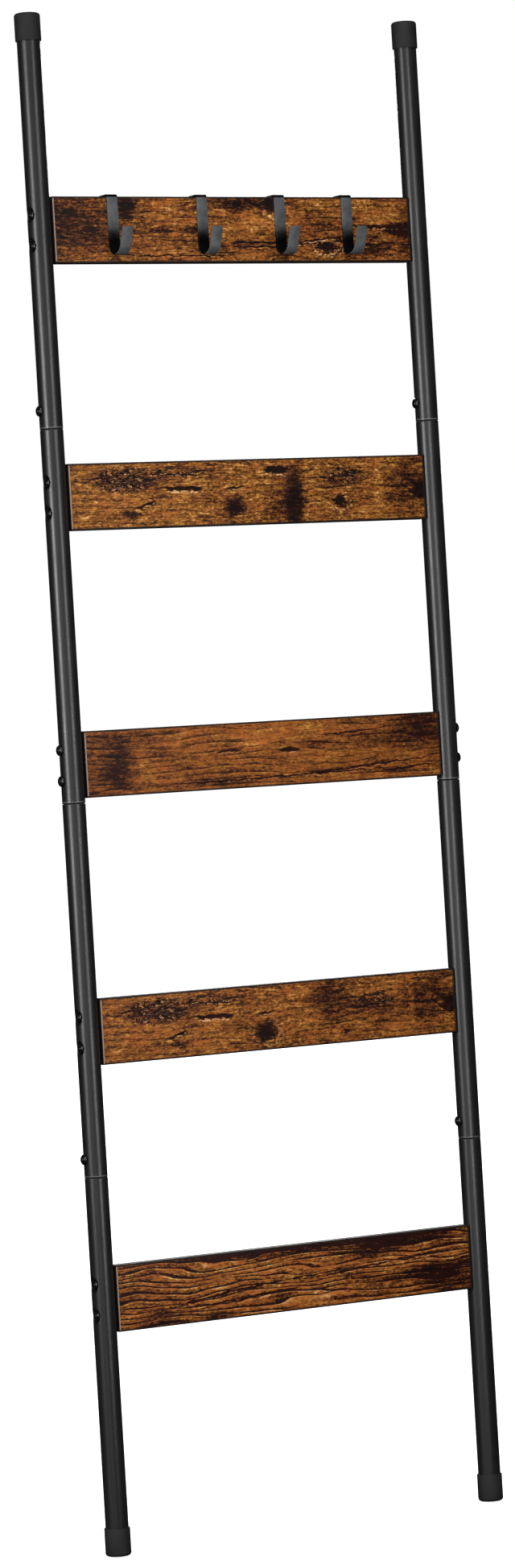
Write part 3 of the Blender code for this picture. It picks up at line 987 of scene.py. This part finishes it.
STRIP_WIDTH = 0.013
STRIP_THICKNESS = 0.002
STRIP_EASING = 0.00035
STRIP_CORNER = 0.0028
STRIP_NOSE = 0.0004
STRIP_END_ROWS = (0.0, 0.0001, 0.0003, 0.0006, 0.001, 0.0015, 0.0021, STRIP_CORNER)
STRIP_ROW = 0.0008
CLIP_LOOSENESS = 0.0003
CLIP_BEND = 0.002
CLIP_BEND_STEPS = 10
CLIP_BACK_LEG = 0.028
THROAT_RADIUS = 0.0125
THROAT_TURN = math.radians(160)
THROAT_STEPS = 40
HOOK_DROP = 0.0645
HOOK_TIP_DROP = 0.0355
HOOK_GREY = (0.050, 0.052, 0.055)
RUBBED_GREY = (0.078, 0.083, 0.084)
SCUFFED_GREY = (0.13, 0.135, 0.14)
# Painted shade colour for the hook's throat and for the bend over the board.
PAINTED_SHADE_BLACK = (0.0015, 0.0015, 0.002)


def hook_coat(rail_top):
    """Dark grey satin coat, rubbed paler here and there and scuffed across the strip. Painted shade
    makes it near black, duller and more metallic in the throat and where the strip is bent over the
    board."""
    material, shader, point = new_finish("hook_coat")
    cloud = noise(point, 0.10, 4, 0.6).ramp(0.3, 0.75)
    grit = noise(point, 2.8, 2, 0.6)
    scuff = noise(point.vector("MULTIPLY", (0.3, 2.0, 2.0)), 1.0, 3, 0.7).ramp(0.62, 0.75)
    upright = stood_upright(point, Vector((0, 0, rail_top)))
    outward, height = upright.part(1), upright.part(2)
    # Painted shade: the inside of the J and the strip over the board's top are darkened where shade
    # falls.
    throat_shade = (height + cloud * 3).ramp(-25.0, -46.0) * outward.ramp(-27.0, -18.0)
    clip_top_shade = height.ramp(-1.6, 0.0)
    painted_shade = throat_shade.math("MAXIMUM", clip_top_shade)
    worn = mixed(scuff * 0.35, mixed(cloud, HOOK_GREY, RUBBED_GREY), SCUFFED_GREY)
    feed(shader, "Base Color", mixed(painted_shade * 0.96, worn, PAINTED_SHADE_BLACK))
    feed(shader, "Roughness", 0.42 + cloud * 0.12 + painted_shade * 0.3 + (grit - 0.5) * 0.12)
    feed(shader, "Metallic", 0.2 + painted_shade * 0.75)
    bumped(shader, grit, 0.00006, 0.5)
    shader.inputs["Specular IOR Level"].default_value = 0.3
    return material


def hook_line(half_board):
    """Points along the middle of the bent strip, from the foot of its back leg to its tip.
    The board's top middle is at 0, 0, and y grows towards the wall."""
    top = CLIP_LOOSENESS + STRIP_THICKNESS / 2
    leg = half_board + top
    points = [(leg, -CLIP_BACK_LEG)]

    def bend(y, z, radius, start, sweep, steps):
        for step in range(steps + 1):
            turn = start + sweep * step / steps
            points.append((y + radius * math.cos(turn), z + radius * math.sin(turn)))

    quarter = math.pi / 2
    bend(leg - CLIP_BEND, top - CLIP_BEND, CLIP_BEND, 0, quarter, CLIP_BEND_STEPS)
    bend(CLIP_BEND - leg, top - CLIP_BEND, CLIP_BEND, quarter, quarter, CLIP_BEND_STEPS)
    throat_y = -leg - THROAT_RADIUS
    throat_z = -HOOK_DROP + STRIP_THICKNESS / 2 + THROAT_RADIUS
    bend(throat_y, throat_z, THROAT_RADIUS, 0, -THROAT_TURN, THROAT_STEPS)
    y, z = points[-1]
    rise = -HOOK_TIP_DROP - z
    points.append((y - rise / math.tan(THROAT_TURN - quarter), z + rise))
    return [Vector((0, y, z)) for y, z in points]


def strip_blank(length):
    """The flat strip before it is bent, its length along Z and its corners rounded."""
    work = bmesh.new()
    corner_place = STRIP_WIDTH / 2 - STRIP_CORNER
    rim = STRIP_THICKNESS / 2
    far_rows = [length - station for station in STRIP_END_ROWS]
    span = length - 2 * STRIP_CORNER
    count = round(span / STRIP_ROW)
    middle = [STRIP_CORNER + span * step / count for step in range(1, count)]
    rows = []
    for station in sorted([*STRIP_END_ROWS, *far_rows, *middle]):
        inset = STRIP_CORNER - min(station, length - station, STRIP_CORNER)
        wide = corner_place + max(math.sqrt(STRIP_CORNER**2 - inset**2), STRIP_NOSE)
        row = []
        for corner in range(4):
            x_side = 1 if corner in (0, 3) else -1
            y_side = 1 if corner < 2 else -1
            for step in range(4):
                turn = math.pi / 2 * (corner + step / 3)
                x = x_side * (wide - STRIP_EASING) + STRIP_EASING * math.cos(turn)
                y = y_side * (rim - STRIP_EASING) + STRIP_EASING * math.sin(turn)
                row.append(work.verts.new((x, y, station)))
        rows.append(row)
    for first, second in zip(rows, rows[1:]):
        for step in range(len(first)):
            after = (step + 1) % len(first)
            work.faces.new((first[step], first[after], second[after], second[step]))
    work.faces.new(rows[0])
    work.faces.new(rows[-1])
    bmesh.ops.recalc_face_normals(work, faces=work.faces)
    mesh = bpy.data.meshes.new("strip_blank")
    work.to_mesh(mesh)
    work.free()
    return mesh


def bending_tree():
    """Bends a flat blank along a line: its Z is the way along, and its Y stands off it."""
    tree, given = new_tree(
        "bent strip", {"Line": "Object", "Across": "Float", "Height": "Float", "Finish": "Material"}
    )
    line = Wire.node(tree, "GeometryNodeObjectInfo", {}, {0: given["Line"]}, "Geometry")
    place = Wire.node(tree, "GeometryNodeInputPosition", {}, {})
    sample = {"mode": "LENGTH", "use_all_curves": True}
    sockets = {"Curves": line, "Length": place.part(2)}
    on_line = Wire.node(tree, "GeometryNodeSampleCurve", sample, sockets, "Position")
    heading = Wire.node(tree, "GeometryNodeSampleCurve", sample, sockets, "Tangent")
    off_line = heading.vector("CROSS_PRODUCT", (1, 0, 0)).vector("NORMALIZE")
    stand_off = Wire.node(
        tree,
        "ShaderNodeVectorMath",
        {"operation": "SCALE"},
        {0: off_line, "Scale": place.part(1)},
    )
    sideways = Wire.node(
        tree,
        "ShaderNodeCombineXYZ",
        {},
        {0: place.part(0) + given["Across"], 2: given["Height"]},
    )
    bent = on_line.vector("ADD", stand_off).vector("ADD", sideways)
    moved = Wire.node(
        tree, "GeometryNodeSetPosition", {}, {"Geometry": given["Geometry"], "Position": bent}
    )
    close_tree(tree, moved, given["Finish"])
    return tree


rail_low, rail_high = upright_box("board_5")
route = hook_line((rail_high.y - rail_low.y) / 2)
line_curve = bpy.data.curves.new("hook_line", "CURVE")
line_curve.dimensions = "3D"
spline = line_curve.splines.new("POLY")
spline.points.add(len(route) - 1)
for control, place in zip(spline.points, route):
    control.co = (*place, 1)
line_object = bpy.data.objects.new("hook_line", line_curve)
strip_length = sum((b - a).length for a, b in zip(route, route[1:]))
bending = bending_tree()
grey_coat = hook_coat(rail_high.z)
for number in range(1, 5):
    node = f"hook_{number}"
    hook_low, hook_high = upright_box(node)
    hook = shaped(
        f"strip_hook_{number}",
        strip_blank(strip_length),
        bending,
        {
            "Line": line_object,
            "Across": (hook_low.x + hook_high.x) / 2,
            "Height": rail_high.z,
            "Finish": grey_coat,
        },
    )
    settled(hook, leaning)
    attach(hook, node)
    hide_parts(node)
bpy.data.objects.remove(line_object)


# Studio ----------------------------------------------------------------------------------
# A pale floor under an even white surround. Tall softboxes stand to the left and in front, a
# low and a high fill light the boards, and one softbox lights the back. The camera stands to
# the left of the ladder, a little above its middle.

FLOOR_SIZE = 40.0
FLOOR_WHITE = (0.80, 0.80, 0.80)
FLOOR_ROUGHNESS = 0.9
FLOOR_GLOW = 0.86
GLOSSY_SURROUND = 0.03
SOFT_SURROUND = 0.25
LADDER_MIDDLE = Vector((-0.0086, -0.0008, 0.8095))
CAMERA_TURN = math.radians(-30.62)
CAMERA_RISE = math.radians(6.14)
CAMERA_DISTANCE = 5.683
CAMERA_LENS = 119.66
CAMERA_SENSOR = 36
CAMERA_REACH = 100


def aimed(made, place, target):
    """Stands a lamp or camera at a place, turned to a target."""
    made.location = place
    made.rotation_euler = (target - place).to_track_quat("-Z", "Y").to_euler()
    bpy.context.scene.collection.objects.link(made)


def softbox(name, place, target, width, height, power):
    """A lamp of this size in metres and power in watts, that the camera doesn't see."""
    light = bpy.data.lights.new(name, "AREA")
    light.shape = "RECTANGLE"
    light.size = width
    light.size_y = height
    light.energy = power
    made = bpy.data.objects.new(name, light)
    made.visible_camera = False
    aimed(made, Vector(place), Vector(target))


floor_mesh = bpy.data.meshes.new("floor")
reach = FLOOR_SIZE / 2
corners = [(-reach, -reach, 0), (reach, -reach, 0), (reach, reach, 0), (-reach, reach, 0)]
floor_mesh.from_pydata(corners, [], [(0, 1, 2, 3)])
floor = bpy.data.objects.new("floor", floor_mesh)
bpy.context.scene.collection.objects.link(floor)
floor_paint = bpy.data.materials.new("floor_paint")
floor_paint.use_nodes = True
floor_shader = floor_paint.node_tree.nodes["Principled BSDF"]
floor_shader.inputs["Base Color"].default_value = (*FLOOR_WHITE, 1)
floor_shader.inputs["Roughness"].default_value = FLOOR_ROUGHNESS
floor_shader.inputs["Specular IOR Level"].default_value = 0.0
floor_shader.inputs["Emission Color"].default_value = (1, 1, 1, 1)
floor_shader.inputs["Emission Strength"].default_value = FLOOR_GLOW
floor_mesh.materials.append(floor_paint)
floor.visible_glossy = False
floor.visible_diffuse = False

world = bpy.data.worlds.new("surround")
bpy.context.scene.world = world
world.use_nodes = True
sky = world.node_tree
seen = Wire.node(sky, "ShaderNodeLightPath", {}, {}, "Is Camera Ray")
glossy = Wire.node(sky, "ShaderNodeLightPath", {}, {}, "Is Glossy Ray")
background = sky.nodes["Background"]
background.inputs["Color"].default_value = (1, 1, 1, 1)
level = seen + (1 - seen) * (glossy * GLOSSY_SURROUND + (1 - glossy) * SOFT_SURROUND)
sky.links.new(level.socket, background.inputs["Strength"])

softbox("left_softbox", (-2.90, -0.80, 1.28), (0, 0, 1.1), 0.8, 1.5, 60)
softbox("front_softbox", (0.0, -1.15, 1.10), (0, 0, 1.0), 0.20, 1.7, 10.5)
softbox("low_fill", (-2.3, -3.1, 1.0), (0, 0, 0.8), 2.0, 2.2, 15)
softbox("high_fill", (-1.5, -3.5, 6.0), (0, 0, 0.6), 2.5, 2.0, 275)
softbox("rear_softbox", (1.63, 2.75, 2.2), (0, 0, 0.8), 0.8, 1.6, 85)

camera = bpy.data.objects.new("camera", bpy.data.cameras.new("camera"))
camera.data.lens = CAMERA_LENS
camera.data.sensor_width = CAMERA_SENSOR
camera.data.clip_end = CAMERA_REACH
flat = math.cos(CAMERA_RISE)
away = Vector(
    (math.sin(CAMERA_TURN) * flat, -math.cos(CAMERA_TURN) * flat, math.sin(CAMERA_RISE))
)
aimed(camera, LADDER_MIDDLE + away * CAMERA_DISTANCE, LADDER_MIDDLE)
bpy.context.scene.camera = camera
bpy.context.scene.view_settings.view_transform = "Standard"
